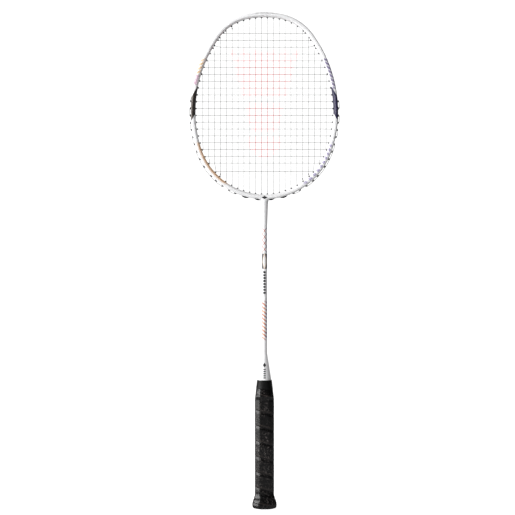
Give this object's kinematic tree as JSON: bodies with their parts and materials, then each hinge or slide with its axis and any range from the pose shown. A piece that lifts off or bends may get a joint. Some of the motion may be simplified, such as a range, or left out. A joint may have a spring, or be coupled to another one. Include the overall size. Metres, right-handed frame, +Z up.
{
  "type": "badminton racket",
  "caption": "Badminton racket: strung oval head on a thin hollow shaft, tapered collar and an octagonal wrapped grip with a flared butt.",
  "frame": {"origin": "middle of the butt's flat end face", "axes": "+Z up the shaft to the head, X across the head, Y through its depth with the viewed face towards -Y"},
  "size_m": [0.2046, 0.0296, 0.675],
  "materials": {
    "white_lacquer": "gloss lacquer over carbon composite, with printed bands",
    "dark_composite": "bare moulded composite",
    "white_plastic": "smooth moulded plastic, slightly glossy",
    "handle_wood": "light close-grained wood, unfinished",
    "black_plastic": "matte moulded plastic",
    "grey_badge": "satin disc",
    "grip_black": "tacky synthetic wrap, finely pebbled and perforated",
    "tape_black": "thin self-adhesive tape",
    "staple_steel": "bright wire",
    "string_white": "coated nylon, slightly translucent",
    "grommet_black": "moulded nylon, satin"
  },
  "bodies": {
    "root": {"frame_hoop": "white_lacquer", "throat_shell": "white_lacquer", "shaft": "white_lacquer", "t_joint": "dark_composite", "cone_cap": "white_plastic", "handle_core": "handle_wood", "butt_cap": "black_plastic", "butt_badge": "grey_badge", "grip_wrap": "grip_black", "finishing_tape": "tape_black", "cap_staples": "staple_steel", "grip_staple": "staple_steel", "main_string": "string_white", "cross_string": "string_white", "grommets_top": "grommet_black", "grommets_shared": "grommet_black", "grommets_upper_left": "grommet_black", "grommets_upper_right": "grommet_black", "grommets_lower_left": "grommet_black", "grommets_lower_right": "grommet_black", "grommets_throat": "grommet_black", "grommets_twin": "grommet_black"}
  },
  "joints": []
}
